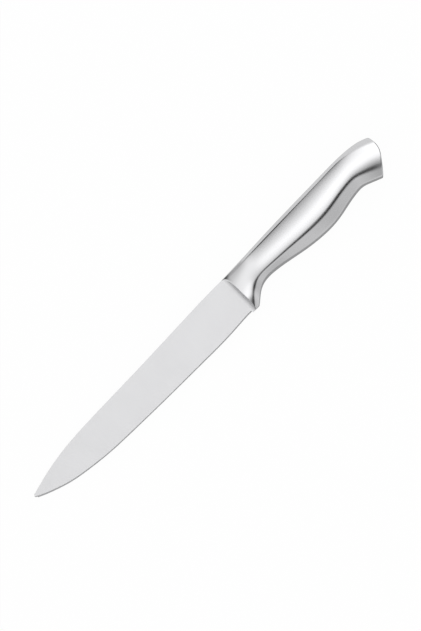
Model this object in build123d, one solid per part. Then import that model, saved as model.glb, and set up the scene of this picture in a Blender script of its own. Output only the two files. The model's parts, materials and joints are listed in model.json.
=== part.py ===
from build123d import *
import os
from math import atan, atan2, cos, degrees, hypot, radians, sin, sqrt, tan

# Carving knife with a hollow steel handle, lying on its right side.
# X runs along the cutting edge from the tip to the butt and Y from the edge to the spine.
# Z is up, out of the knife's left side. All lengths are in millimetres.
# While it is built, the heel of the blade is at X = 0, the straight edge at Y = 0
# and the middle of the blade at Z = 0. The finished knife is then laid on the table.

# Blade
blade_length = 200.0
blade_height = 32.5
spine_thickness = 2.4
shoulder_thickness = 0.44
edge_half_angle = 18.0
flat_length = 128.0
nose_radius = 1.3

# Tang, a stub whose sides are set in from the blade's, so the blade's heel covers its slot
tang_length = 46.0
tang_corner = 3.0
tang_inset = 0.15
room_over_tang = 5.9
room_under_tang = 1.5

# Bolster
bolster_length = 22.0
bolster_thickness = 9.4
cove_radius = 4.6
cove_lip = 0.12
spigot_length = 8.0

# Handle
handle_length = 144.0
handle_thickness = 19.6
swell_height = 31.0
back_rise = 4.4
back_crown = 0.25
wall = 1.0

# Butt cap
cap_depth = 5.0
cap_lean = 12.0
cap_wall = 2.2
cap_lip = 4.0
butt_depth = 4.4

# Welds and fits
weld_width = 0.8
tang_weld_leg = 1.6
fit_gap = 0.1

# Heights of the blade's spine and edge, in shares of the blade's length ahead of the heel
# and of its height.
spine_shares = (
    (0, 1.0), (0.06, 0.995), (0.2, 0.959), (0.42, 0.896), (0.62, 0.851), (0.74, 0.815),
    (0.83, 0.757), (0.91, 0.663), (0.96, 0.584), (1.0, 0.514),
)
edge_shares = (
    (0, 0.03), (0.13, 0.022), (0.28, 0.002), (0.45, 0.0), (0.58, 0.004), (0.66, 0.014),
    (0.73, 0.036), (0.8, 0.085), (0.86, 0.142), (0.9, 0.205), (0.94, 0.286), (0.98, 0.381),
    (1.0, 0.442),
)
# How much of the belly's rise the grind follows towards the tip.
belly_follow_share = 0.6
# Places of the sections of the blade's lofted front, in shares of the way from the flat
# stretch's end to the tip.
tip_shares = (-0.3, -0.2, -0.1, 0, 0.1, 0.2, 0.32, 0.45, 0.58, 0.7, 0.82, 0.94, 1.06)
# Places of the sections that grind the cutting edge, in shares of the blade's length ahead of the heel.
grind_shares = (-0.06, 0.1, 0.25, 0.4, 0.52, 0.62, 0.7, 0.77, 0.83, 0.88, 0.92, 0.96, 1.0, 1.03)

# Rise of the handle's back above the spine, in shares of the handle's length and of its rise.
back_shares = (
    (0, 0), (0.13, 0.18), (0.3, 0.48), (0.5, 0.74), (0.7, 0.93),
    (0.82, 0.99), (0.89, 0.86), (0.95, 0.5), (1.0, -0.13),
)
# Height of the section under the back: beside the guard in shares of the bolster's length
# and the blade's height, then in shares of the handle's length and the swell's height.
choil_shares = ((-0.2, 1.21), (0.15, 1.046), (0.4, 0.921), (0.6, 0.814), (0.8, 0.737), (1.0, 0.703))
grip_shares = (
    (0.185, 0.732), (0.235, 0.76), (0.3, 0.822), (0.4, 0.925), (0.5, 0.991), (0.57, 1.003),
    (0.64, 0.972), (0.71, 0.911), (0.77, 0.872), (0.81, 0.87), (0.85, 0.922), (0.9, 0.995),
    (1.0, 1.09),
)
# Half thickness: beside the guard in shares of the bolster's length and thickness,
# then in shares of the handle's length and thickness.
guard_width_shares = ((-0.2, 0.47), (0.25, 0.515), (0.6, 0.6))
grip_width_shares = (
    (0.15, 0.36), (0.22, 0.412), (0.32, 0.452), (0.45, 0.484), (0.57, 0.498),
    (0.7, 0.494), (0.8, 0.489), (0.9, 0.482), (1.0, 0.472),
)
# Heights of the creases, in shares of the handle's length and of the section's height:
# the top crease under the back, then the lower crease and the belly corner over the belly.
top_crease_shares = (
    (-0.03, 0.04), (0.06, 0.062), (0.16, 0.09), (0.3, 0.09), (0.5, 0.08), (0.75, 0.076),
    (0.85, 0.083), (0.93, 0.108), (1.0, 0.115),
)
low_crease_shares = (
    (-0.03, 0.105), (0.03, 0.147), (0.06, 0.195), (0.1, 0.24), (0.14, 0.254), (0.19, 0.242),
    (0.26, 0.248), (0.36, 0.289), (0.5, 0.318), (0.65, 0.333), (0.8, 0.327), (0.9, 0.3), (1.0, 0.255),
)
belly_corner_shares = (
    (-0.03, 0.024), (0.005, 0.0255), (0.035, 0.027), (0.06, 0.028), (0.085, 0.034), (0.11, 0.045),
    (0.14, 0.06), (0.175, 0.064), (0.22, 0.058), (0.3, 0.052), (0.5, 0.041), (0.6, 0.036),
    (0.72, 0.048), (0.85, 0.054), (1.0, 0.05),
)
# How far the crowned side falls from its crest to the top crease and to the lower crease,
# in shares of the handle's length and half thickness. Beside the blade the section is a lens,
# and towards the butt the side turns to face the belly a little.
top_fall_shares = (
    (-0.03, 0.575), (0.005, 0.56), (0.035, 0.51), (0.06, 0.41), (0.085, 0.31), (0.11, 0.23),
    (0.135, 0.172), (0.165, 0.135), (0.2, 0.117), (0.3, 0.112), (0.72, 0.112), (0.8, 0.1),
    (0.87, 0.07), (0.94, 0.05), (1.0, 0.045),
)
low_fall_shares = (
    (-0.03, 0.3), (0.005, 0.28), (0.035, 0.25), (0.06, 0.21), (0.085, 0.18), (0.11, 0.155),
    (0.14, 0.13), (0.2, 0.115), (0.3, 0.112), (0.72, 0.114), (0.8, 0.13), (0.87, 0.18),
    (0.94, 0.235), (1.0, 0.26),
)
# Half widths of the back and the belly, in shares of the handle's length and half thickness.
back_width_shares = (
    (-0.03, 0.293), (0.005, 0.293), (0.035, 0.3), (0.06, 0.363), (0.085, 0.45), (0.11, 0.52),
    (0.135, 0.565), (0.165, 0.59), (0.2, 0.605), (0.3, 0.62), (0.7, 0.64), (0.85, 0.63), (1.0, 0.59),
)
belly_width_shares = (
    (-0.03, 0.29), (0.005, 0.262), (0.035, 0.236), (0.06, 0.222), (0.085, 0.245), (0.11, 0.33),
    (0.14, 0.415), (0.17, 0.45), (0.25, 0.415), (0.45, 0.34), (0.8, 0.36), (1.0, 0.36),
)
# How far each rounding reaches from its corner, in shares of the section's height.
back_round_share = 0.022
top_round_shares = ((-0.03, 0.022), (0.3, 0.022), (0.8, 0.022), (0.87, 0.035), (0.94, 0.055), (1.0, 0.065))
low_round_shares = (
    (-0.03, 0.12), (0.03, 0.105), (0.07, 0.07), (0.12, 0.05), (0.3, 0.055), (0.6, 0.062),
    (0.8, 0.075), (0.88, 0.1), (1.0, 0.13),
)
belly_round_share = 0.035
# Places of the sections that shape the handle, in shares of its length.
station_shares = (
    -0.03, 0.005, 0.035, 0.06, 0.085, 0.11, 0.135, 0.165, 0.2, 0.25, 0.32, 0.4, 0.49, 0.58,
    0.66, 0.73, 0.79, 0.84, 0.89, 0.94, 1.0, 1.05,
)

# Where the handle's inner forms start, in shares of the bolster's length, and where the
# cap's starts, in shares of the handle's.
inner_start_share = 0.9
cap_start_share = 0.75

# The butt's top corner, in shares of the handle's length, and its curve, in shares of the
# chord from the top corner down and of the curve's depth.
butt_top_share = 0.993
butt_curve_shares = (
    (-0.2, -1.2), (0, 0), (0.17, 0.72), (0.31, 1.0), (0.53, 0.87), (0.78, 0.47), (1.0, 0), (1.2, -0.6),
)

# Room that the cutting bodies have past the steel that they cut
side_room = handle_thickness
edge_room = 2 * spine_thickness


def curve_through(points):
    """Natural cubic curve through points, as a function of place."""
    places = [point[0] for point in points]
    values = [point[1] for point in points]
    last = len(points) - 1
    steps = [places[i + 1] - places[i] for i in range(last)]
    slopes = [(values[i + 1] - values[i]) / steps[i] for i in range(last)]
    ratios = [0.0]
    sums = [0.0]
    for i in range(1, last):
        weight = 2 * (steps[i - 1] + steps[i]) - steps[i - 1] * ratios[-1]
        sums.append((6 * (slopes[i] - slopes[i - 1]) - steps[i - 1] * sums[-1]) / weight)
        ratios.append(steps[i] / weight)
    bends = [0.0] * (last + 1)
    for i in range(last - 1, 0, -1):
        bends[i] = sums[i] - ratios[i] * bends[i + 1]
    first_slope = slopes[0] - steps[0] * bends[1] / 6
    last_slope = slopes[-1] + steps[-1] * bends[last - 1] / 6

    def curve(place):
        if place <= places[0]:
            return values[0] + (place - places[0]) * first_slope
        if place >= places[last]:
            return values[last] + (place - places[last]) * last_slope
        i = max(j for j in range(last) if places[j] <= place)
        before = (place - places[i]) / steps[i]
        after = 1 - before
        bend = (after**3 - after) * bends[i] + (before**3 - before) * bends[i + 1]
        return after * values[i] + before * values[i + 1] + bend * steps[i] ** 2 / 6

    return curve


def between(start, end, share):
    return start + (end - start) * share


def scaled(shares, length, value=1, base=0):
    return [(place * length, base + share * value) for place, share in shares]


def ahead(shares):
    """Points along the blade, in order from the tip to the heel."""
    return [(-place * blade_length, share * blade_height) for place, share in reversed(shares)]


spine_line = curve_through(ahead(spine_shares))
edge_line = curve_through(ahead(edge_shares))
back_line = curve_through(scaled(back_shares, handle_length, back_rise, blade_height))
section_height = curve_through(
    scaled(choil_shares, bolster_length, blade_height) + scaled(grip_shares, handle_length, swell_height)
)
half_width = curve_through(
    scaled(guard_width_shares, bolster_length, bolster_thickness)
    + scaled(grip_width_shares, handle_length, handle_thickness)
)
top_crease = curve_through(scaled(top_crease_shares, handle_length))
low_crease = curve_through(scaled(low_crease_shares, handle_length))
belly_corner = curve_through(scaled(belly_corner_shares, handle_length))
top_fall = curve_through(scaled(top_fall_shares, handle_length))
low_fall = curve_through(scaled(low_fall_shares, handle_length))
back_width = curve_through(scaled(back_width_shares, handle_length))
belly_width = curve_through(scaled(belly_width_shares, handle_length))
top_round = curve_through(scaled(top_round_shares, handle_length))
low_round = curve_through(scaled(low_round_shares, handle_length))


def belly_line(x):
    return back_line(x) - section_height(x)


# Blade
grind_slope = (spine_thickness - shoulder_thickness) / 2 / blade_height
# The tang lies in the hollow of the handle's neck.
tang_places = [between(bolster_length, tang_length, share) for share in (0, 1 / 4, 1 / 2, 3 / 4, 1)]
tang_top = min(back_line(x) for x in tang_places) - wall - room_over_tang
tang_low = max(belly_line(x) for x in tang_places) + wall + room_under_tang
tang_height = tang_top - tang_low


def grind_lift(x):
    """How far the grind follows the belly upwards ahead of the flat stretch."""
    return belly_follow_share * (edge_line(x) - edge_line(-flat_length)) if x < -flat_length else 0


def side_of_blade(x, y):
    """Half thickness of the blade."""
    return shoulder_thickness / 2 + grind_slope * (y - grind_lift(x))


def closed_wire(x, corners):
    """Closed wire through (y, z) corners in the plane at x."""
    return Wire(Polyline([Vector(x, *corner) for corner in corners], close=True).edges())


def slab(start, end):
    """All the space between two planes across the knife."""
    return Pos((start + end) / 2, 0, 0) * Box(end - start, 4 * blade_height, 2 * side_room)


def ground_corners(x, low, high, gap=0):
    half = [(low, side_of_blade(x, low) + gap), (high, side_of_blade(x, high) + gap)]
    return half + [(y, -z) for y, z in reversed(half)]


def flat_stock(start, end, gap=0):
    """Bar between the blade's two flat ground sides."""
    corners = ground_corners(0, -edge_room, 2 * blade_height, gap)
    return Pos(start, 0, 0) * extrude(make_face(closed_wire(0, corners)), amount=end - start, dir=(1, 0, 0))


def tip_stock():
    """Bar between the ground sides ahead of the flat stretch, lofted to past the tip."""
    sections = []
    for share in tip_shares:
        x = -between(flat_length, blade_length, share)
        low = grind_lift(x) - edge_room / 2
        sections.append(closed_wire(x, ground_corners(x, low, 2 * blade_height)))
    return Solid.make_loft(sections) & slab(-2 * blade_length, -flat_length)


def edge_wedge():
    """Wedge whose two faces grind the cutting edge."""
    high = 2 * blade_height
    sections = []
    for share in grind_shares:
        x = -share * blade_length
        low = edge_line(x)
        spread = (high - low) * tan(radians(edge_half_angle))
        sections.append(closed_wire(x, [(low, 0), (high, spread), (high, -spread)]))
    return Solid.make_loft(sections)


def blade_profile():
    """Side view of the blade: spine and round nose, with room left below the edge."""
    centre = -blade_length + nose_radius
    spine_lean = atan((spine_line(centre + nose_radius) - spine_line(centre)) / nose_radius)
    nose_top = centre - nose_radius * sin(spine_lean)
    middle = spine_line(nose_top) - nose_radius * cos(spine_lean)
    places = [0] + [-share * blade_length for share in grind_shares if 0 < share < 0.99] + [nose_top]
    spine = Spline([(x, spine_line(x)) for x in places])
    nose_end = (centre, middle - nose_radius)
    nose = ThreePointArc(spine @ 1, (-blade_length, middle), nose_end)
    room = Polyline(nose_end, (centre, -edge_room), (0, -edge_room), (0, spine_line(0)))
    outline = make_face(spine.edges() + nose.edges() + room.edges())
    return extrude(outline, amount=side_room, both=True)


def tang(gap=0):
    """Stub tang behind the heel, or the space for it with a gap all round."""
    start = -gap
    length = tang_length - start
    outline = Pos(start + length / 2, (tang_top + tang_low) / 2) * Rectangle(length, tang_height + 2 * gap)
    outline = fillet(outline.vertices().sort_by(Axis.X)[2:], tang_corner)
    return extrude(outline, amount=side_room, both=True) & flat_stock(start, tang_length, gap - tang_inset)


def blade():
    stock = flat_stock(-flat_length, 0) + tip_stock()
    return (stock & blade_profile() & edge_wedge()) + tang()


# Handle's outer form
def along(start, end, share):
    return (between(start[0], end[0], share), between(start[1], end[1], share))


def meeting(start, start_way, end, end_way):
    """Where two lines in the section's plane cross."""
    cross = start_way[0] * end_way[1] - start_way[1] * end_way[0]
    gap = (end[0] - start[0], end[1] - start[1])
    reach = (gap[0] * end_way[1] - gap[1] * end_way[0]) / cross
    return (start[0] + start_way[0] * reach, start[1] + start_way[1] * reach)


def way_between(start, end):
    return (end[0] - start[0], end[1] - start[1])


def handle_corners(x, inset):
    """The eight sharp corners (y, z) of a section, moved inwards, and the crown of each side."""
    back, belly, height, width = back_line(x), belly_line(x), section_height(x), half_width(x)
    crown = width * ((sqrt(top_fall(x)) + sqrt(low_fall(x))) / 2) ** 2
    low_crown = height * belly_corner(x)
    corners = [
        (back - back_crown, width * back_width(x)),
        (back - height * top_crease(x), width * (1 - top_fall(x))),
        (belly + height * low_crease(x), width * (1 - low_fall(x))),
        (belly + low_crown, width * belly_width(x)),
    ]
    corners += [(y, -z) for y, z in reversed(corners)]
    lines = []
    for start, end in zip(corners, corners[1:] + corners[:1]):
        way = way_between(start, end)
        length = hypot(*way)
        lines.append(((start[0] - inset * way[1] / length, start[1] + inset * way[0] / length), way))
    moved = [meeting(*lines[i - 1], *lines[i]) for i in range(len(corners))]
    return moved, (0, crown, 0, low_crown, 0, crown, 0, back_crown)


def crowned_side(start, end, crown, first, last):
    """Control points of a crowned side between the ends of its two roundings."""
    way = way_between(start, end)
    length = hypot(*way)
    middle = along(start, end, 1 / 2)
    peak = (middle[0] + 2 * crown * way[1] / length, middle[1] - 2 * crown * way[0] / length)
    first = min(first / length, 1 / 3)
    last = 1 - min(last / length, 1 / 3)
    return [
        along(along(start, peak, one), along(peak, end, one), other)
        for one, other in ((first, first), (first, last), (last, last))
    ]


def handle_section(x, inset=0):
    """Closed wire of the handle at x: eight sides joined by eight roundings."""
    corners, crowns = handle_corners(x, inset)
    rounds = [back_round_share, top_round(x), low_round(x), belly_round_share]
    rounds = [share * section_height(x) for share in rounds + rounds[::-1]]
    count = len(corners)
    sides = [
        crowned_side(corners[i], corners[(i + 1) % count], crowns[i], rounds[i], rounds[(i + 1) % count])
        for i in range(count)
    ]
    edges = []
    for i, side in enumerate(sides):
        following = sides[(i + 1) % count]
        knee = meeting(side[2], way_between(side[1], side[2]), following[0], way_between(*following[:2]))
        start, peak, end = [Vector(x, *point) for point in side]
        edges.append(Bezier(start, peak, end) if crowns[i] else Line(start, end))
        edges.append(Bezier(end, Vector(x, *knee), Vector(x, *following[0])))
    return Wire(edges)


def handle_form(inset=0, start=None):
    """The handle's outer form, or the same form one inset smaller all round behind its start."""
    places = [share * handle_length for share in station_shares]
    if start is not None:
        places = [start] + [x for x in places if x > start + weld_width]
    return Solid.make_loft([handle_section(x, inset) for x in places])


# Bolster
def bolster(form, inner_form):
    """Solid bolster with a cove towards each side of the blade and a spigot behind."""
    floor = edge_line(0)
    body = form & slab(0, bolster_length)
    body = body - Pos(0, floor - blade_height, 0) * Box(4 * bolster_length, 2 * blade_height, side_room)
    lean = atan(grind_slope)
    cove_centre = side_of_blade(0, 0) + (cove_lip + cove_radius) / cos(lean)
    cove = Rot(90 + degrees(lean), 0, 0) * Cylinder(cove_radius, 4 * blade_height)
    cove = Pos(0, 0, cove_centre) * cove
    body = body - cove - mirror(cove, about=Plane.XY)
    spigot = inner_form & slab(bolster_length, bolster_length + spigot_length)
    return body + spigot - tang(fit_gap)


def tang_welds():
    """Two convex beads that hold the tang where it leaves the spigot."""
    lean = atan(grind_slope)
    high = tang_top - tang_corner
    start = Vector(bolster_length + spigot_length, high, side_of_blade(0, high) - tang_inset)
    base = Plane(origin=start, x_dir=(1, 0, 0), z_dir=(0, -cos(lean), -sin(lean)))
    leg = tang_weld_leg
    bulge = leg * sin(radians(45))
    outline = make_face([Line((0, leg), (0, 0)), Line((0, 0), (leg, 0)), ThreePointArc((leg, 0), (bulge, bulge), (0, leg))])
    bead = extrude(base * outline, amount=(tang_height - 2 * tang_corner) / cos(lean))
    return [bead, mirror(bead, about=Plane.XY)]


# Butt
butt_top = (butt_top_share * handle_length, back_line(butt_top_share * handle_length))
butt_low_place = butt_top[0] - cap_lean
butt_low = (butt_low_place, belly_line(butt_low_place))
butt_chord = hypot(*way_between(butt_top, butt_low))
down_way = tuple(step / butt_chord for step in way_between(butt_top, butt_low))
out_way = (-down_way[1], down_way[0])


def butt_point(down, out):
    """Point (x, y) at a distance down the butt's chord and outwards from it."""
    return tuple(butt_top[i] + down * down_way[i] + out * out_way[i] for i in (0, 1))


def behind(depth):
    """All the space behind a plane along the butt's chord, at a depth ahead of the chord."""
    place = butt_point(butt_chord / 2, -depth)
    base = Plane(origin=(*place, 0), x_dir=(0, 0, 1), z_dir=(*out_way, 0))
    return base * Box(2 * side_room, 4 * blade_height, 2 * handle_length, align=(Align.CENTER, Align.CENTER, Align.MIN))


def ahead_of_butt(depth=0):
    """All the space ahead of the butt's curved face, or of its inner face at a depth."""
    curve = Spline([butt_point(down * butt_chord, out * butt_depth - depth) for down, out in butt_curve_shares])
    far_low = butt_point(2 * butt_chord, -handle_length)
    far_high = butt_point(-butt_chord, -handle_length)
    rest = Polyline(curve @ 1, far_low, far_high, curve @ 0)
    return extrude(make_face(curve.edges() + rest.edges()), amount=side_room, both=True)


def butt_cap(form, fit_form, cap_form):
    """Dished cap with a domed face and a lip that enters the shells."""
    body = form & behind(cap_depth)
    lip = (fit_form & behind(cap_depth + weld_width + cap_lip)) - behind(cap_depth)
    cap = (body + lip) & ahead_of_butt()
    return cap - (cap_form & ahead_of_butt(cap_wall))


def handle_pieces(form, cavity):
    """Two half shells, and the welds that join them to each other, the bolster and the cap."""
    tube = form - cavity
    shells_start = bolster_length + weld_width
    bolster_weld = tube & slab(bolster_length, shells_start)
    cap_weld = (tube & behind(cap_depth + weld_width)) - behind(cap_depth)
    shells = (tube & slab(shells_start, handle_length)) - behind(cap_depth + weld_width)
    half = Pos(0, 0, side_room / 2 + weld_width / 2) * Box(4 * handle_length, 4 * blade_height, side_room)
    left_shell = shells & half
    seams = (shells & Box(4 * handle_length, 4 * blade_height, weld_width)).solids().sort_by(Axis.Y)
    return {
        "handle_shell_left": left_shell,
        "handle_shell_right": mirror(left_shell, about=Plane.XY),
        "bolster_ring_weld": bolster_weld,
        "belly_seam_weld": seams[0],
        "spine_seam_weld": seams[-1],
        "cap_ring_weld": cap_weld,
    }


def all_pieces():
    form = handle_form()
    inner_start = inner_start_share * bolster_length
    fit_form = handle_form(wall + fit_gap, inner_start)
    cap_form = handle_form(cap_wall, cap_start_share * handle_length)
    pieces = {
        "blade": blade(),
        "bolster": bolster(form, fit_form),
        "tang_welds": Compound(tang_welds()),
        "butt_cap": butt_cap(form, fit_form, cap_form),
    }
    pieces.update(handle_pieces(form, handle_form(wall, inner_start)))
    return pieces


# The knife lies on the swell of its right shell and on its tip.
def lean_on_table():
    tip = -blade_length + nose_radius
    tip_side = side_of_blade(tip, spine_line(tip))
    places = [share * handle_length for share in station_shares if 0 < share < 1]
    return max(atan2(half_width(x) - tip_side, x - tip) for x in places)


def laid_on_table(pieces):
    """Leaned over its tip, standing on Z = 0 and centred on the origin."""
    turned = {name: Rot(0, -degrees(lean_on_table()), 0) * piece for name, piece in pieces.items()}
    boxes = [piece.bounding_box() for piece in turned.values()]
    middle_x = (min(box.min.X for box in boxes) + max(box.max.X for box in boxes)) / 2
    middle_y = (min(box.min.Y for box in boxes) + max(box.max.Y for box in boxes)) / 2
    floor = min(box.min.Z for box in boxes)
    return {name: Pos(-middle_x, -middle_y, -floor) * piece for name, piece in turned.items()}


os.makedirs("parts", exist_ok=True)
for name, piece in laid_on_table(all_pieces()).items():
    export_step(piece, f"parts/{name}.step")
    box = piece.bounding_box()
    print(name, round(piece.volume, 1), box.min, box.max)
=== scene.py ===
import bpy
import json
import math
import numpy as np
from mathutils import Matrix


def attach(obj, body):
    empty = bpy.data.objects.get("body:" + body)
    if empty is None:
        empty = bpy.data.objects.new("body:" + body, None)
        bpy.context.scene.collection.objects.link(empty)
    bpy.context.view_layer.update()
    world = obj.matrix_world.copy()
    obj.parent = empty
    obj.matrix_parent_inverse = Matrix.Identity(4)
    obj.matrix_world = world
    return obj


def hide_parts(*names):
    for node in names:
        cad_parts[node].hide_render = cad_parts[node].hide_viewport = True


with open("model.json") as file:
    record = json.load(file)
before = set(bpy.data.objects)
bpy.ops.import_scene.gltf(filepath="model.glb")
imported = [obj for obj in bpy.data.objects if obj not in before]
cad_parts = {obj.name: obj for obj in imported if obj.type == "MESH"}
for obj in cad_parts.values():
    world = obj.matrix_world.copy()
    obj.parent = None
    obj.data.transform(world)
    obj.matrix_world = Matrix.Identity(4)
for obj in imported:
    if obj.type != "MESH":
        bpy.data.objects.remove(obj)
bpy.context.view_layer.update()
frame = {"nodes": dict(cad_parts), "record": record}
print("frame loaded:", ", ".join(sorted(frame["nodes"])))


# A socket's value. Reckoning with it adds Math nodes.
class Signal:
    def __init__(self, shop, socket):
        self.shop = shop
        self.socket = socket

    def math(self, operation, *others):
        values = {place + 1: other for place, other in enumerate(others)}
        return self.shop.node("ShaderNodeMath", {"operation": operation}, {0: self, **values})

    def __add__(self, other): return self.math("ADD", other)
    def __sub__(self, other): return self.math("SUBTRACT", other)
    def __mul__(self, other): return self.math("MULTIPLY", other)
    def __truediv__(self, other): return self.math("DIVIDE", other)
    def __rsub__(self, other): return self.math("MULTIPLY", -1.0) + other
    def __neg__(self): return self.math("MULTIPLY", -1.0)
    __radd__ = __add__
    __rmul__ = __mul__


# The place where one material's or world's nodes are added.
class NodeShop:
    def __init__(self, owner):
        owner.use_nodes = True
        self.tree = owner.node_tree
        self.tree.nodes.clear()

    # Settings come first, then the sockets' values or links.
    def node(self, kind, settings=None, sockets=None, output=0):
        made = self.tree.nodes.new(kind)
        for name, value in (settings or {}).items():
            if name == "stops":
                fillRamp(made.color_ramp, value)
            else:
                setattr(made, name, value)
        for name, value in (sockets or {}).items():
            if isinstance(value, Signal):
                self.tree.links.new(value.socket, made.inputs[name])
            else:
                made.inputs[name].default_value = value
        return Signal(self, made.outputs[output]) if made.outputs else made

    def parts(self, vector):
        split = self.node("ShaderNodeSeparateXYZ", {}, {0: vector}).socket.node
        return [Signal(self, socket) for socket in split.outputs]

    def noise(self, where, scale, detail=2.0, roughness=0.5):
        sockets = {"Vector": where, "Scale": scale, "Detail": detail, "Roughness": roughness}
        return self.node("ShaderNodeTexNoise", {}, sockets)

    def spread(self, value, low, high, toLow=0.0, toHigh=1.0):
        sockets = {"Value": value, "From Min": low, "From Max": high, "To Min": toLow, "To Max": toHigh}
        return self.node("ShaderNodeMapRange", {"interpolation_type": "SMOOTHSTEP"}, sockets)

    def stretched(self, where, scales):
        return self.node("ShaderNodeMapping", {}, {"Vector": where, "Scale": scales})


def fillRamp(ramp, stops):
    ramp.interpolation = "EASE"
    while len(ramp.elements) < len(stops):
        ramp.elements.new(1.0)
    for element, (place, tone) in zip(ramp.elements, stops):
        element.position = place
        element.color = (tone, tone, tone, 1.0)


# Camera: straight above the knife, turned so that the knife points down to the left.
# The span is the picture's height at the height of the knife's middle.
camera = {"turn": -44.35, "lens": 200.0, "span": 0.4417, "centre": (0.0052, 0.0019), "height": 0.0095}

lens = bpy.data.cameras.new("camera")
lens.sensor_fit = "VERTICAL"
lens.sensor_height = 36.0
lens.lens = camera["lens"]
lens.clip_end = 20.0
viewer = bpy.data.objects.new("camera", lens)
viewer.location = (*camera["centre"], camera["height"] + camera["span"] * camera["lens"] / lens.sensor_height)
viewer.rotation_euler = (0.0, 0.0, math.radians(camera["turn"]))
bpy.context.collection.objects.link(viewer)
bpy.context.scene.camera = viewer
bpy.context.scene.view_settings.view_transform = "Standard"
print("camera at", [round(value, 3) for value in viewer.location])


# Studio: a white room with soft light above the knife and dark flags beside it.
studio = {
    "brightest": 1.39,
    # Brightness over the angle in degrees round the knife: straight up is 0, the edge's side
    # below it and the spine's side above it. It differs towards the tip and the butt.
    "tipTones": (
        (-180, 0.6), (-110, 0.6), (-96, 0.45), (-88, 0.5), (-78, 0.56), (-66, 0.5), (-56, 0.36),
        (-49, 0.24), (-41, 0.24), (-35, 0.38), (-28, 0.5), (-18, 0.68), (-8, 0.8), (2, 0.86),
        (10, 0.87), (18, 0.82), (26, 0.7), (32, 0.56), (42, 0.46), (60, 0.38), (80, 0.4),
        (92, 0.48), (110, 0.62), (180, 0.6),
    ),
    "middleTones": (
        (-180, 0.5), (-110, 0.4), (-98, 0.14), (-90, 0.2), (-82, 0.5), (-72, 0.52), (-62, 0.56),
        (-55, 0.34), (-49, 0.02), (-42, 0.02), (-36, 0.12), (-29, 0.3), (-22, 0.6), (-15, 0.94),
        (-8, 1.04), (-2, 1.0), (4, 0.82), (10, 0.66), (18, 0.5), (25, 0.32), (32, 0.06),
        (44, 0.0), (64, 0.0), (80, 0.05), (90, 0.3), (98, 0.6), (110, 0.7), (180, 0.5),
    ),
    "buttTones": (
        (-180, 0.5), (-110, 0.4), (-98, 0.14), (-90, 0.2), (-82, 0.5), (-72, 0.5), (-60, 0.46),
        (-53, 0.3), (-48, 0.0), (-38, 0.0), (-32, 0.1), (-25, 0.5), (-18, 1.0), (-8, 1.15),
        (8, 1.2), (20, 1.0), (30, 0.75), (60, 0.6), (90, 0.62), (180, 0.6),
    ),
    # The reflection's share along the knife, from the tip's side below 0 to the butt's above it,
    # over which the tip's, the middle's and the butt's tones blend.
    "tipSide": (-0.32, -0.14),
    "buttSide": (-0.05, 0.12),
    "tipEnd": 0.85,
    "tipEndSpan": (-1.1, -0.1),
    # Dark flag behind the butt: its tone, its turn in degrees and its share along the knife.
    "buttFlag": 0.1,
    "flagSpan": (-50.0, -32.0, 12.0, 30.0),
    "flagReach": (0.4, 0.6),
    # Light that the choil's corner sees behind and below it, and the shares along and across
    # the knife that it takes up.
    "choilGlow": 0.46,
    "choilReach": (0.22, 0.4),
    "choilLow": (-0.82, -0.66),
    "choilHigh": (-0.5, -0.3),
    "diffuse": 0.8,
    "lampSize": (1.4, 0.8),
    "lampPlace": (0.0, 0.15, 1.6),
    "lampPower": 3.0,
    "floorReach": 6.0,
    "floorDrop": 0.0002,
    # What the steel sees of the floor on the edge's and on the spine's side of the knife: dimmer on the edge's
    # side, a painted shadow of the knife that only the steel's reflections show.
    "floorGlowWithPaintedShadow": (0.38, 0.85),
    "paintedFloorShadowSpan": (-0.02, 0.05),
    "floorShine": (0.96, 0.95),
}


def lightStudio():
    world = bpy.data.worlds.new("studio")
    bpy.context.scene.world = world
    shop = NodeShop(world)
    way = shop.node("ShaderNodeTexCoord")
    along, across, up = shop.parts(way)
    angle = across.math("ARCTAN2", up) * (0.5 / math.pi) + 0.5
    tones = []
    for name in ("tipTones", "middleTones", "buttTones"):
        places = [(degrees / 360 + 0.5, tone) for degrees, tone in studio[name]]
        tones.append(shop.node("ShaderNodeValToRGB", {"stops": places}, {0: angle}))
    tip, middle, rearmost = tones
    rear = middle + (rearmost - middle) * shop.spread(along, *studio["buttSide"])
    tone = tip + (rear - tip) * shop.spread(along, *studio["tipSide"])
    heading = across.math("ARCTAN2", along) * (180 / math.pi)
    turnIn, turnFull, turnBack, turnOut = studio["flagSpan"]
    flag = shop.spread(heading, turnIn, turnFull) * shop.spread(heading, turnBack, turnOut, 1.0, 0.0)
    flag = flag * shop.spread(along, *studio["flagReach"])
    choil = shop.spread(along, *studio["choilReach"]) * shop.spread(across, *studio["choilLow"])
    choil = choil * shop.spread(across, *studio["choilHigh"], 1.0, 0.0)
    tone = tone + choil * studio["choilGlow"]
    tone = tone * shop.spread(along, *studio["tipEndSpan"], studio["tipEnd"], 1.0)
    tone = tone * (1 - flag * (1 - studio["buttFlag"]))
    isCamera = shop.node("ShaderNodeLightPath")
    isGlossy = shop.node("ShaderNodeLightPath", output="Is Glossy Ray")
    level = isGlossy * tone * studio["brightest"] + isCamera
    level = level + (1 - isGlossy) * (1 - isCamera) * studio["diffuse"]
    background = shop.node("ShaderNodeBackground", {}, {"Color": (1, 1, 1, 1), "Strength": level})
    shop.node("ShaderNodeOutputWorld", {}, {"Surface": background})


def hangLamp():
    light = bpy.data.lights.new("softbox", "AREA")
    light.shape = "RECTANGLE"
    light.size, light.size_y = studio["lampSize"]
    light.energy = studio["lampPower"]
    lamp = bpy.data.objects.new("softbox", light)
    lamp.location = studio["lampPlace"]
    lamp.visible_glossy = False
    bpy.context.collection.objects.link(lamp)


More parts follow.
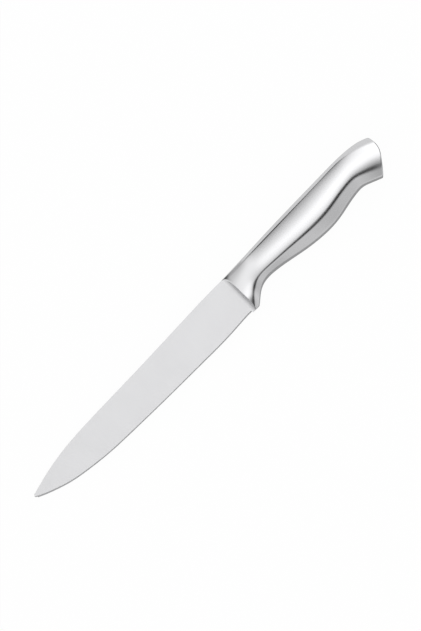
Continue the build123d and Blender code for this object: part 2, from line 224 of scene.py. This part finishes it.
def layFloor():
    reach = studio["floorReach"]
    corners = [(-reach, -reach, 0), (reach, -reach, 0), (reach, reach, 0), (-reach, reach, 0)]
    mesh = bpy.data.meshes.new("floor")
    mesh.from_pydata(corners, [], [(0, 1, 2, 3)])
    floor = bpy.data.objects.new("floor", mesh)
    floor.location.z = -studio["floorDrop"]
    bpy.context.collection.objects.link(floor)
    paint = bpy.data.materials.new("floorPaint")
    shop = NodeShop(paint)
    isCamera = shop.node("ShaderNodeLightPath")
    isGlossy = shop.node("ShaderNodeLightPath", output="Is Glossy Ray")
    across = shop.parts(shop.node("ShaderNodeTexCoord", output="Object"))[1]
    # Camera rays see the floor evenly white; glossy rays see it dimmer on the edge's side, a painted shadow of
    # the knife in the steel's reflection.
    glowWithPaintedShadow = isCamera + (1 - isCamera) * shop.spread(across, *studio["paintedFloorShadowSpan"], *studio["floorGlowWithPaintedShadow"])
    cameraShine, glossyShine = studio["floorShine"]
    matt = shop.node("ShaderNodeBsdfDiffuse", {}, {"Color": (0.95, 0.95, 0.95, 1)})
    shine = shop.node("ShaderNodeEmission", {}, {"Color": (1, 1, 1, 1), "Strength": glowWithPaintedShadow})
    share = isCamera * cameraShine + isGlossy * glossyShine
    both = shop.node("ShaderNodeMixShader", {}, {0: share, 1: matt, 2: shine})
    shop.node("ShaderNodeOutputMaterial", {}, {"Surface": both})
    mesh.materials.append(paint)


lightStudio()
hangLamp()
layFloor()
print("studio ready")


# Steel finishes
steelLook = {
    "blade": {"tone": (0.67, 0.67, 0.68), "roughness": 0.4, "lines": (2600.0, 60.0, 2600.0), "depth": 0.05},
    "cove": {"tone": (0.7, 0.7, 0.71), "roughness": 0.36, "lines": (60.0, 2400.0, 2400.0), "depth": 0.03},
    "handle": {"tone": (0.72, 0.72, 0.73), "roughness": 0.18, "lines": (60.0, 2400.0, 2400.0), "depth": 0.012},
    "facet": {"tone": (0.74, 0.74, 0.75), "roughness": 0.24, "lines": (90.0, 3200.0, 3200.0), "depth": 0.05},
}

# Unevenness: how far the fine lines and the soft clouds change roughness and tone
unevenness = {
    "cloudScale": 60.0, "cloudDetail": 2.0, "lineDetail": 3.0, "lineRoughness": 0.6, "bumpReach": 0.0001,
    "roughLines": 0.1, "roughCloud": 0.06, "toneCloud": 0.06, "toneLines": 0.05,
    "darkest": 0.9, "lightest": 1.1,
}


def brushedSteel(name):
    look = steelLook[name]
    steel = bpy.data.materials.new(name + "Steel")
    shop = NodeShop(steel)
    where = shop.node("ShaderNodeTexCoord", output="Object")
    grain = shop.stretched(where, look["lines"])
    lines = shop.noise(grain, 1.0, unevenness["lineDetail"], unevenness["lineRoughness"])
    cloud = shop.noise(where, unevenness["cloudScale"], unevenness["cloudDetail"])
    rough = look["roughness"] + (lines - 0.5) * unevenness["roughLines"]
    rough = rough + (cloud - 0.5) * unevenness["roughCloud"]
    bumpSockets = {"Strength": look["depth"], "Distance": unevenness["bumpReach"], "Height": lines}
    bump = shop.node("ShaderNodeBump", {}, bumpSockets)
    tint = (cloud - 0.5) * unevenness["toneCloud"] + (lines - 0.5) * unevenness["toneLines"]
    dark, light = [
        tuple(value * factor for value in look["tone"]) + (1,)
        for factor in (unevenness["darkest"], unevenness["lightest"])
    ]
    sheen = shop.node("ShaderNodeMix", {"data_type": "RGBA"}, {0: tint + 0.5, 6: dark, 7: light}, output=2)
    coat = shop.node(
        "ShaderNodeBsdfPrincipled", {},
        {"Base Color": sheen, "Metallic": 1.0, "Roughness": rough, "Normal": bump},
    )
    shop.node("ShaderNodeOutputMaterial", {}, {"Surface": coat})
    return steel


bladeSteel = brushedSteel("blade")
coveSteel = brushedSteel("cove")
handleSteel = brushedSteel("handle")
facetSteel = brushedSteel("facet")
for name, node in frame["nodes"].items():
    node.data.materials.clear()
    node.data.materials.append(bladeSteel if name == "blade" else handleSteel)
print("steel on every node")


# The knife's own axes, in millimetres: X from the heel back to the butt, Y from the edge
# up to the spine, Z out of the left side. The mount for a knife block says where they lie.
seat = next(mount for mount in frame["record"]["mounts"] if mount["name"] == "block_slot")
backWay = -np.array(seat["axis"])
upWay = np.array([0.0, 1.0, 0.0])
knifeWays = np.array([backWay, upWay, np.cross(backWay, upWay)])


def inFrame(points):
    return np.array(seat["pos_m"]) + np.asarray(points, float) @ knifeWays / 1000.0


# Smooth curve through (place, value) points that goes on straight past its ends.
def curveThrough(points, length=1.0, size=1.0, base=0.0):
    places, values = np.array(points, float).T
    places, values = places * length, base + values * size
    steps = np.diff(places)
    slopes = np.diff(values) / steps
    count = len(places)
    system, pull = np.eye(count), np.zeros(count)
    for i in range(1, count - 1):
        system[i, i - 1:i + 2] = steps[i - 1], 2 * (steps[i - 1] + steps[i]), steps[i]
        pull[i] = 6 * (slopes[i] - slopes[i - 1])
    bends = np.linalg.solve(system, pull)
    firstSlope = slopes[0] - steps[0] * bends[1] / 6
    lastSlope = slopes[-1] + steps[-1] * bends[-2] / 6

    def curve(place):
        place = np.asarray(place, float)
        i = np.clip(np.searchsorted(places, place, side="right") - 1, 0, count - 2)
        before = (place - places[i]) / steps[i]
        after = 1 - before
        bend = (after**3 - after) * bends[i] + (before**3 - before) * bends[i + 1]
        inside = after * values[i] + before * values[i + 1] + bend * steps[i] ** 2 / 6
        inside = np.where(place < places[0], values[0] + (place - places[0]) * firstSlope, inside)
        return np.where(place > places[-1], values[-1] + (place - places[-1]) * lastSlope, inside)

    return curve


# Handle's form: lengths in millimetres, curves in shares of the handle's length and of
# the size that each belongs to.
handle = {
    "length": 144.0, "thickness": 19.6, "swell": 31.0, "spine": 32.5, "rise": 4.4, "backCrown": 0.25,
    "wall": 1.0, "bolster": 22.0, "bolsterThickness": 9.4,
    "back": (
        (0, 0), (0.13, 0.18), (0.3, 0.48), (0.5, 0.74), (0.7, 0.93), (0.82, 0.99), (0.89, 0.86),
        (0.95, 0.5), (1.0, -0.13),
    ),
    "choil": ((-0.2, 1.21), (0.15, 1.046), (0.4, 0.921), (0.6, 0.814), (0.8, 0.737), (1.0, 0.703)),
    "grip": (
        (0.185, 0.732), (0.235, 0.76), (0.3, 0.822), (0.4, 0.925), (0.5, 0.991), (0.57, 1.003),
        (0.64, 0.972), (0.71, 0.911), (0.77, 0.872), (0.81, 0.87), (0.85, 0.922), (0.9, 0.995), (1.0, 1.09),
    ),
    "guardWidth": ((-0.2, 0.47), (0.25, 0.515), (0.6, 0.6)),
    "gripWidth": (
        (0.15, 0.36), (0.22, 0.412), (0.32, 0.452), (0.45, 0.484), (0.57, 0.498),
        (0.7, 0.494), (0.8, 0.489), (0.9, 0.482), (1.0, 0.472),
    ),
    "topCrease": (
        (-0.03, 0.045), (0.04, 0.066), (0.08, 0.082), (0.16, 0.09), (0.3, 0.09), (0.5, 0.08), (0.75, 0.076),
        (0.85, 0.083), (0.93, 0.108), (1.0, 0.115),
    ),
    "lowCrease": (
        (-0.03, 0.105), (0.03, 0.147), (0.06, 0.195), (0.1, 0.24), (0.14, 0.254), (0.19, 0.242),
        (0.26, 0.248), (0.36, 0.289), (0.5, 0.318), (0.65, 0.333), (0.8, 0.327), (0.9, 0.3), (1.0, 0.255),
    ),
    "bellyCorner": (
        (-0.03, 0.024), (0.005, 0.0255), (0.035, 0.027), (0.06, 0.028), (0.085, 0.034), (0.11, 0.045),
        (0.14, 0.06), (0.175, 0.064), (0.22, 0.058), (0.3, 0.052), (0.5, 0.041), (0.6, 0.036),
        (0.72, 0.048), (0.85, 0.054), (1.0, 0.05),
    ),
    "topFall": (
        (-0.03, 0.575), (0.005, 0.56), (0.035, 0.51), (0.06, 0.41), (0.085, 0.31), (0.11, 0.23),
        (0.135, 0.172), (0.165, 0.135), (0.2, 0.117), (0.3, 0.112), (0.72, 0.112), (0.8, 0.1),
        (0.87, 0.07), (0.94, 0.05), (1.0, 0.045),
    ),
    "lowFall": (
        (-0.03, 0.3), (0.005, 0.28), (0.035, 0.25), (0.06, 0.21), (0.085, 0.18), (0.11, 0.155),
        (0.14, 0.13), (0.2, 0.115), (0.3, 0.112), (0.72, 0.114), (0.8, 0.13), (0.87, 0.18),
        (0.94, 0.235), (1.0, 0.26),
    ),
    "backWidth": (
        (-0.03, 0.293), (0.005, 0.293), (0.035, 0.3), (0.06, 0.363), (0.085, 0.45), (0.11, 0.52),
        (0.135, 0.565), (0.165, 0.59), (0.2, 0.605), (0.3, 0.62), (0.7, 0.64), (0.85, 0.63), (1.0, 0.59),
    ),
    "bellyWidth": (
        (-0.03, 0.29), (0.005, 0.262), (0.035, 0.236), (0.06, 0.222), (0.085, 0.245), (0.11, 0.33),
        (0.14, 0.415), (0.17, 0.45), (0.25, 0.415), (0.45, 0.34), (0.8, 0.36), (1.0, 0.36),
    ),
    "backRound": 0.022, "bellyRound": 0.035,
    "topRound": ((-0.03, 0.022), (0.3, 0.022), (0.8, 0.022), (0.87, 0.035), (0.94, 0.055), (1.0, 0.065)),
    "lowRound": (
        (-0.03, 0.14), (0.03, 0.14), (0.07, 0.11), (0.12, 0.07), (0.2, 0.056), (0.3, 0.055), (0.6, 0.062),
        (0.8, 0.075), (0.88, 0.085), (1.0, 0.085),
    ),
    # Points round half a section: the back, its corner, the strip, the top crease, the side,
    # the lower crease, the brushed facet, the belly's corner and the belly.
    "points": (4, 6, 4, 7, 26, 12, 9, 7, 4),
    "seam": 0.4,
}

handleLength, boltEnd = handle["length"], handle["bolster"]
backLine = curveThrough(handle["back"], handleLength, handle["rise"], handle["spine"])
sectionHeight = curveThrough(
    [(place * boltEnd, share * handle["spine"]) for place, share in handle["choil"]]
    + [(place * handleLength, share * handle["swell"]) for place, share in handle["grip"]]
)
halfWidth = curveThrough(
    [(place * boltEnd, share * handle["bolsterThickness"]) for place, share in handle["guardWidth"]]
    + [(place * handleLength, share * handle["thickness"]) for place, share in handle["gripWidth"]]
)
sharesAlong = {
    name: curveThrough(handle[name], handleLength)
    for name in (
        "topCrease", "lowCrease", "bellyCorner", "topFall", "lowFall", "backWidth", "bellyWidth",
        "topRound", "lowRound",
    )
}


def bellyLine(x):
    return backLine(x) - sectionHeight(x)


# Where two lines in a section cross. Its points are complex numbers, y + z * 1j.
def meeting(start, startWay, end, endWay):
    reach = np.imag(np.conj(end - start) * endWay) / np.imag(np.conj(startWay) * endWay)
    return start + startWay * reach


def bend(start, peak, end, t):
    return (1 - t) ** 2 * start + 2 * t * (1 - t) * peak + t**2 * end


def bendWay(start, peak, end, t):
    return 2 * (1 - t) * (peak - start) + 2 * t * (end - peak)


# Goes from the first value to the second while the place goes from 0 to 1, then on to the third.
def stretch(first, second, third, place):
    return first + (second - first) * place if place <= 1 else second + (third - second) * (place - 1)


# The left half of the section at each x, from the back's middle down to the belly's.
# x holds a row of places for every point round the half.
def halfSection(x, inset=0.0):
    share = {name: curve(x) for name, curve in sharesAlong.items()}
    back, height, width = backLine(x), sectionHeight(x), halfWidth(x)
    belly = back - height
    crown = width * ((np.sqrt(share["topFall"]) + np.sqrt(share["lowFall"])) / 2) ** 2
    corners = [
        back - handle["backCrown"] + 1j * width * share["backWidth"],
        back - height * share["topCrease"] + 1j * width * (1 - share["topFall"]),
        belly + height * share["lowCrease"] + 1j * width * (1 - share["lowFall"]),
        belly + height * share["bellyCorner"] + 1j * width * share["bellyWidth"],
    ]
    ends = [np.conj(corners[0])] + corners + [np.conj(corners[3])]
    ways = [ends[i + 1] - ends[i] for i in range(5)]
    lines = [ends[i] + 1j * inset * ways[i] / abs(ways[i]) for i in range(5)]
    moved = [meeting(lines[i], ways[i], lines[i + 1], ways[i + 1]) for i in range(4)]
    ends = [np.conj(moved[0])] + moved + [np.conj(moved[3])]
    crowns = [handle["backCrown"], 0, crown, 0, height * share["bellyCorner"]]
    rounds = [handle["backRound"]] * 2 + [share["topRound"], share["lowRound"]] + [handle["bellyRound"]] * 2
    sides = []
    for i in range(5):
        way = ends[i + 1] - ends[i]
        peak = (ends[i] + ends[i + 1]) / 2 - 2j * crowns[i] * way / abs(way)
        first = np.minimum(rounds[i] * height / abs(way), 1 / 3)
        last = 1 - np.minimum(rounds[i + 1] * height / abs(way), 1 / 3)
        sides.append((ends[i], peak, ends[i + 1], first, last))
    points = np.empty(x.shape, complex)
    column = 0
    for i in range(5):
        start, peak, end, first, last = sides[i]
        for place in placesOnSide(i):
            at = np.s_[..., column]
            t = first[at] + (last[at] - first[at]) * place
            if i == 0:
                seam = 0.5 + handle["seam"] / (2 * np.imag(end[at]))
                t = stretch(0.5, seam, last[at], place)
            if i == 4:
                seam = 0.5 - handle["seam"] / (2 * np.imag(start[at]))
                t = stretch(first[at], seam, 0.5, place)
            points[at] = bend(start[at], peak[at], end[at], t)
            column += 1
        if i == 4:
            break
        nextStart, nextPeak, nextEnd, nextFirst, _ = sides[i + 1]
        for place in placesOnRound(i):
            at = np.s_[..., column]
            one = bend(start[at], peak[at], end[at], last[at])
            other = bend(nextStart[at], nextPeak[at], nextEnd[at], nextFirst[at])
            knee = meeting(
                one, bendWay(start[at], peak[at], end[at], last[at]),
                other, bendWay(nextStart[at], nextPeak[at], nextEnd[at], nextFirst[at]),
            )
            points[at] = bend(one, knee, other, place)
            column += 1
    return points


def placesOnSide(i):
    count = handle["points"][2 * i]
    if i == 0:
        return [0, 0.5, 1] + list(1 + np.arange(1, count) / count)
    if i == 4:
        return list(np.arange(1, count) / count) + [1, 1.5, 2]
    return list(np.arange(1, count + 1) / (count + 1))


def placesOnRound(i):
    return list(np.arange(handle["points"][2 * i + 1]) / (handle["points"][2 * i + 1] - 1))


halfCount = sum(len(placesOnSide(i)) for i in range(5)) + sum(len(placesOnRound(i)) for i in range(4))


# Points (x, y, z) of the left half of the skin. Each point round the half has its own x.
def skin(x, inset=0.0):
    half = halfSection(x, inset)
    return np.stack([x, half.real, half.imag], -1)


def allRound(half):
    return np.concatenate([half, half[:, -2:0:-1] * (1, 1, -1)], 1)


# Butt: lengths in millimetres, the rest in shares of the handle's length, the chord from
# the top corner down and the depth of the curve.
butt = {
    "top": 0.993, "lean": 12.0, "depth": 4.4, "cap": 5.0, "weld": 0.8, "capWall": 2.2, "lip": 4.0, "fit": 0.1,
    "curve": (
        (-0.2, -1.2), (0, 0), (0.17, 0.72), (0.31, 1.0), (0.53, 0.87), (0.78, 0.47), (1.0, 0), (1.2, -0.6),
    ),
    "rim": 0.8,
    # Rows of points along the shells, the welds, the cap's skin, its rim and its wall. The face's
    # rows are shares of the way from its rim to its middle.
    "shellRows": 110, "weldRows": 3, "skinRows": 12, "rimRows": 7, "wallRows": 8,
    "faceRows": (0.12, 0.3, 0.5, 0.75), "floorRows": (0.6, 0.3),
    "tries": 40, "easing": 0.8,
}

topX = butt["top"] * handleLength
buttTop = np.array([topX, float(backLine(topX))])
buttLow = np.array([topX - butt["lean"], float(bellyLine(topX - butt["lean"]))])
chord = float(np.linalg.norm(buttLow - buttTop))
downWay = (buttLow - buttTop) / chord
outWay = np.array([-downWay[1], downWay[0]])
buttCurve = curveThrough(butt["curve"], chord, butt["depth"])


def downAndOut(points):
    gap = points[..., :2] - buttTop
    return gap @ downWay, gap @ outWay


# The skin's x where it meets the butt's curved face, or a plane ahead of the butt's chord.
def meetingButt(ahead, inset=0.0, curved=False):
    x = np.full((1, halfCount), topX - ahead)
    for _ in range(butt["tries"]):
        down, out = downAndOut(skin(x, inset))
        x = x - butt["easing"] * (out + ahead - (buttCurve(down) if curved else 0.0))
    return x


# Points of the butt's face between its rim and its middle.
def facePoints(edge, shares, ahead=0.0):
    down, _ = downAndOut(edge)
    rows = []
    for share in shares:
        place = down + (chord / 2 - down) * share
        at = buttTop + place[..., None] * downWay + (buttCurve(place) - ahead)[..., None] * outWay
        rows.append(np.concatenate([at, edge[..., 2:] * (1 - share)], -1))
    return np.concatenate(rows)


def faceMiddle(ahead=0.0):
    return np.append(buttTop + chord / 2 * downWay + (float(buttCurve(chord / 2)) - ahead) * outWay, 0.0)


def smoothNormals(grid, closed):
    if closed:
        around = np.roll(grid, -1, 1) - np.roll(grid, 1, 1)
    else:
        around = np.gradient(grid, axis=1)
    normals = np.cross(around, np.gradient(grid, axis=0))
    sizes = np.linalg.norm(normals, axis=-1, keepdims=True)
    for row in range(len(grid) - 2, -1, -1):
        still = sizes[row, :, 0] < 1e-7
        normals[row, still], sizes[row, still] = normals[row + 1, still], sizes[row + 1, still]
    return normals / sizes


# Bolster and tang, in millimetres
bolster = {
    "coveRadius": 4.2, "coveLip": 0.12, "shoulder": 0.44, "bladeSpine": 2.4, "spigot": 8.0,
    "tangLength": 46.0, "overTang": 5.9, "underTang": 1.5, "tangInset": 0.15,
    "floor": 0.975, "floorRound": 0.05,
    # The crest's rounding, and how much thinner the front gets towards its bottom.
    "crest": 0.65, "leastCove": 0.02,
    "thin": 0.3, "thinRise": (1.0, 12.0), "thinReach": (1.0, 11.0),
    "coveRows": 10, "crestRows": 7, "skinRows": 30, "tangRows": 5, "brushedFrom": 13,
    "tries": 40,
}

grind = (bolster["bladeSpine"] - bolster["shoulder"]) / 2 / handle["spine"]


def bladeSide(y):
    return bolster["shoulder"] / 2 + grind * y


def coveHeight(x, y):
    radius = bolster["coveRadius"]
    rise = bolster["coveLip"] + radius - np.sqrt(np.maximum(radius**2 - x**2, 0.0))
    return bladeSide(y) + rise / math.cos(math.atan(grind))


def fade(value, start, end):
    share = np.clip((value - start) / (end - start), 0, 1)
    return share * share * (3 - 2 * share)


# The skin beside the blade, whose bottom is level. Its front gets thinner towards the bottom.
def guardSkin(x):
    points = skin(x)
    gap = points[..., 1] - bolster["floor"]
    points[..., 1] = bolster["floor"] + (gap + np.sqrt(gap**2 + bolster["floorRound"])) / 2
    thin = 1 - fade(points[..., 1], *bolster["thinRise"])
    thin = thin * (1 - fade(points[..., 0], *bolster["thinReach"]))
    points[..., 2] *= 1 - bolster["thin"] * thin
    return points


# Where the skin meets the cove, or the bolster's front where it stands out less than that.
def crestPlaces():
    low, high = np.zeros((1, halfCount)), np.full((1, halfCount), bolster["coveRadius"])
    for _ in range(bolster["tries"]):
        x = (low + high) / 2
        points = guardSkin(x)
        outside = coveHeight(x, points[..., 1]) > points[..., 2]
        low, high = np.where(outside, low, x), np.where(outside, x, high)
    return high


def bolsterRows():
    place = crestPlaces()
    back = np.minimum(bolster["crest"], place / 3)
    crest = guardSkin(place)
    skinFoot = guardSkin(place + back)
    turn = np.arcsin(np.clip(place / bolster["coveRadius"], 0, 1))
    footTurn = turn - back / bolster["coveRadius"]
    height = crest[..., 1]

    def onCove(angle):
        x = bolster["coveRadius"] * np.sin(angle)
        rise = np.minimum(coveHeight(x, height), crest[..., 2])
        return np.stack([x, height, np.where(place > bolster["leastCove"], rise, crest[..., 2])], -1)

    cove = np.concatenate([onCove(footTurn * share) for share in np.linspace(0, 1, bolster["coveRows"])])
    rounded = [bend(cove[-1:], crest, skinFoot, t) for t in np.linspace(0, 1, bolster["crestRows"])[1:]]
    skinStart = place + back
    rest = guardSkin(skinStart + (boltEnd - place - back) * shares(bolster["skinRows"])[1:])
    return np.concatenate([cove] + rounded + [rest])


# Makes one closed piece from rings of points. Corners with a normal are smooth and the rest
# are flat. The ends are fans round a middle point, strips across the wall, or joined. The
# facet's steel goes on the facets' columns, and the cove's steel on the first rows.
def makePiece(name, node, rings, normals, ends, facets=(), facetRows=(0, math.inf), coveRows=0):
    rows, count = rings.shape[:2]
    points = list(rings.reshape(-1, 3))
    directions = list(normals.reshape(-1, 3))
    faces = []
    for i in range(rows if ends == "joined" else rows - 1):
        low, high = i * count, (i + 1) % rows * count
        faces += [(low + k, low + (k + 1) % count, high + (k + 1) % count, high + k) for k in range(count)]
    if ends == "strips":
        for low, turned in ((0, True), ((rows - 1) * count, False)):
            for k in range(count // 2 - 1):
                face = (low + k, low + k + 1, low + count - 2 - k, low + count - 1 - k)
                faces.append(face[::-1] if turned else face)
    if isinstance(ends, list):
        for low, (middle, way), turned in ((0, ends[0], True), ((rows - 1) * count, ends[1], False)):
            points.append(middle)
            directions.append(way)
            for k in range(count):
                face = (low + k, low + (k + 1) % count, len(points) - 1)
                faces.append(face[::-1] if turned else face)
    # Points in the same place are one, and faces that shrink to a line are left out.
    keys = {}
    same = [keys.setdefault(tuple(np.round(point, 4)), place) for place, point in enumerate(points)]
    faces = [tuple(dict.fromkeys(same[place] for place in face)) for face in faces]
    points, directions = inFrame(points), np.array(directions) @ knifeWays
    faces = [face for face in faces if len(face) > 2]
    corners = np.array([
        (points[face[0]], points[face[i]], points[face[i + 1]])
        for face in faces for i in range(1, len(face) - 1)
    ])
    if np.einsum("ij,ij->i", corners[:, 0], np.cross(corners[:, 1], corners[:, 2])).sum() < 0:
        faces = [face[::-1] for face in faces]
    mesh = bpy.data.meshes.new(name)
    mesh.from_pydata(points, [], faces)
    for finish in (handleSteel, facetSteel, coveSteel):
        mesh.materials.append(finish)
    mesh.polygons.foreach_set("use_smooth", [True] * len(mesh.polygons))
    loopNormals = []
    for polygon in mesh.polygons:
        ways = directions[list(polygon.vertices)]
        flat = np.isnan(ways).any()
        loopNormals += [polygon.normal] * len(ways) if flat else list(ways)
        onRow = [divmod(place, count) for place in polygon.vertices]
        if not flat and all(row <= coveRows for row, _ in onRow):
            polygon.material_index = 2 if coveRows else 0
        onFacet = all(facetRows[0] <= row <= facetRows[1] and column in facets for row, column in onRow)
        if onFacet and not flat:
            polygon.material_index = 1
    mesh.normals_split_custom_set(loopNormals)
    piece = bpy.data.objects.new(name, mesh)
    bpy.context.collection.objects.link(piece)
    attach(piece, "root")
    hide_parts(node)
    return piece


def noNormals(rings):
    return np.full(rings.shape, np.nan)


def shares(count):
    return np.linspace(0, 1, count)[:, None]


# The whole skin from the bolster to the butt's middle, row by row, with its smooth normals.
weldEnd = boltEnd + butt["weld"]
ringWeldRows = np.repeat(np.linspace(boltEnd, weldEnd, butt["weldRows"])[:, None], halfCount, 1)
shellEnd = meetingButt(butt["cap"] + butt["weld"])
shellRows = weldEnd + (shellEnd - weldEnd) * shares(butt["shellRows"])
capStart = meetingButt(butt["cap"])
capWeldRows = shellEnd + (capStart - shellEnd) * shares(butt["weldRows"])
rimEdge = meetingButt(0.0, curved=True)
rimStart = rimEdge - butt["rim"]
capRows = capStart + (rimStart - capStart) * shares(butt["skinRows"])

rimLine = skin(rimEdge)
rimFoot = skin(rimStart)
faceReach = np.linalg.norm(rimLine - faceMiddle(), axis=-1)
faceFoot = np.concatenate(
    [facePoints(rimLine[:, [k]], [butt["rim"] / faceReach[0, k]]) for k in range(halfCount)], 1
)
rimRows = np.concatenate([bend(rimFoot, rimLine, faceFoot, t) for t in np.linspace(0, 1, butt["rimRows"])])
faceRows = facePoints(faceFoot, butt["faceRows"])

skinParts = [skin(x)[1:] for x in (ringWeldRows, shellRows, capWeldRows, capRows)]
parts = [bolsterRows()] + skinParts + [rimRows[1:], faceRows]
ends = np.cumsum([len(part) for part in parts])
whole = allRound(np.concatenate(parts))
wholeNormals = smoothNormals(whole, closed=True)
middle = whole[:, :halfCount].mean((0, 1))
if ((whole - middle) * wholeNormals).sum() < 0:
    wholeNormals = -wholeNormals
facetFirst = sum(handle["points"][:6]) + 1
facetColumns = set(range(facetFirst, facetFirst + handle["points"][6] + 1))
around = 2 * halfCount - 2
bothFacets = facetColumns | {around - k for k in facetColumns}
print("skin of", whole.shape[0], "rows and", whole.shape[1], "points round it")


# Tube piece between two rows of the skin.
def makeRing(name, node, first, last, x):
    outer, inner = whole[first:last + 1], allRound(skin(x, handle["wall"]))[::-1]
    rings = np.concatenate([outer, inner])
    normals = np.concatenate([wholeNormals[first:last + 1], noNormals(inner)])
    makePiece(name, node, rings, normals, "joined", bothFacets)


# Lengthwise piece between two columns of the skin.
def makeStrip(name, node, columns, side):
    first, last = ends[1] - 1, ends[2]
    turn = (1, 1, side)
    outer = whole[first:last, columns] * turn
    inner = allRound(skin(shellRows, handle["wall"]))[:, columns][:, ::-1] * turn
    rings = np.concatenate([outer, inner], 1)
    normals = np.concatenate([wholeNormals[first:last, columns] * turn, noNormals(inner)], 1)
    facets = {k for k, column in enumerate(columns) if column in facetColumns}
    makePiece(name, node, rings, normals, "strips", facets)


leftColumns = list(range(2, halfCount - 2))
makeStrip("shellLeft", "handle_shell_left", leftColumns, 1)
makeStrip("shellRight", "handle_shell_right", leftColumns, -1)
makeStrip("spineSeamWeld", "spine_seam_weld", [2, 1, 0, around - 1, around - 2], 1)
makeStrip("bellySeamWeld", "belly_seam_weld", [halfCount + k for k in (-3, -2, -1, 0, 1)], 1)
makeRing("bolsterRingWeld", "bolster_ring_weld", ends[0] - 1, ends[1] - 1, ringWeldRows)
makeRing("capRingWeld", "cap_ring_weld", ends[2] - 1, ends[3] - 1, capWeldRows)


# Cap: skin, rim and face outside, then the dished inside and the lip that enters the shells.
def makeCap():
    outside = whole[ends[3] - 1:]
    lipInset = handle["wall"] + butt["fit"]
    lipEnd = butt["cap"] + butt["weld"] + butt["lip"]
    lipRows = [skin(meetingButt(ahead, inset), inset) for ahead, inset in (
        (lipEnd, butt["capWall"]), (lipEnd, lipInset), (butt["cap"], lipInset),
    )]
    wallStart = meetingButt(lipEnd, butt["capWall"])
    wallEnd = meetingButt(butt["capWall"], butt["capWall"], curved=True)
    wallRows = skin(wallEnd + (wallStart - wallEnd) * shares(butt["wallRows"]), butt["capWall"])
    floorRows = facePoints(wallRows[:1], butt["floorRows"], butt["capWall"])
    inside = allRound(np.concatenate([floorRows, wallRows] + lipRows[1:]))
    rings = np.concatenate([inside, outside])
    normals = np.concatenate([noNormals(inside), wholeNormals[ends[3] - 1:]])
    out = np.append(outWay, 0.0)
    fans = [(faceMiddle(butt["capWall"]), out * np.nan), (faceMiddle(), out)]
    skinRows = len(inside), len(inside) + ends[4] - ends[3]
    makePiece("buttCap", "butt_cap", rings, normals, fans, bothFacets, skinRows)


# Bolster: coves, crest and skin outside, then the spigot and the slot for the tang.
def makeBolster():
    outside = whole[:ends[0]]
    spigotInset = handle["wall"] + butt["fit"]
    tangPlaces = boltEnd + (bolster["tangLength"] - boltEnd) * np.linspace(0, 1, bolster["tangRows"])
    high = backLine(tangPlaces).min() - handle["wall"] - bolster["overTang"] + butt["fit"]
    low = bellyLine(tangPlaces).max() + handle["wall"] + bolster["underTang"] - butt["fit"]
    front = outside[0]
    share = (front[:, 1] - front[:, 1].min()) / np.ptp(front[:, 1])
    y = low + (high - low) * share
    z = np.sign(np.round(front[:, 2], 6)) * (bladeSide(y) + butt["fit"] - bolster["tangInset"])
    spigotEnd = boltEnd + bolster["spigot"]
    slots = [np.stack([np.full(len(y), x), y, z], -1) for x in (spigotEnd, 0.0)]
    spigot = [allRound(skin(np.full((1, halfCount), x), spigotInset)) for x in (boltEnd, spigotEnd)]
    rings = np.concatenate([outside] + spigot + [slot[None] for slot in slots])
    normals = np.concatenate([wholeNormals[:ends[0]], noNormals(rings[ends[0]:])])
    brushed = bolster["brushedFrom"], ends[0]
    makePiece("covedBolster", "bolster", rings, normals, "joined", bothFacets, brushed, bolster["coveRows"])


makeCap()
makeBolster()
print("handle made")
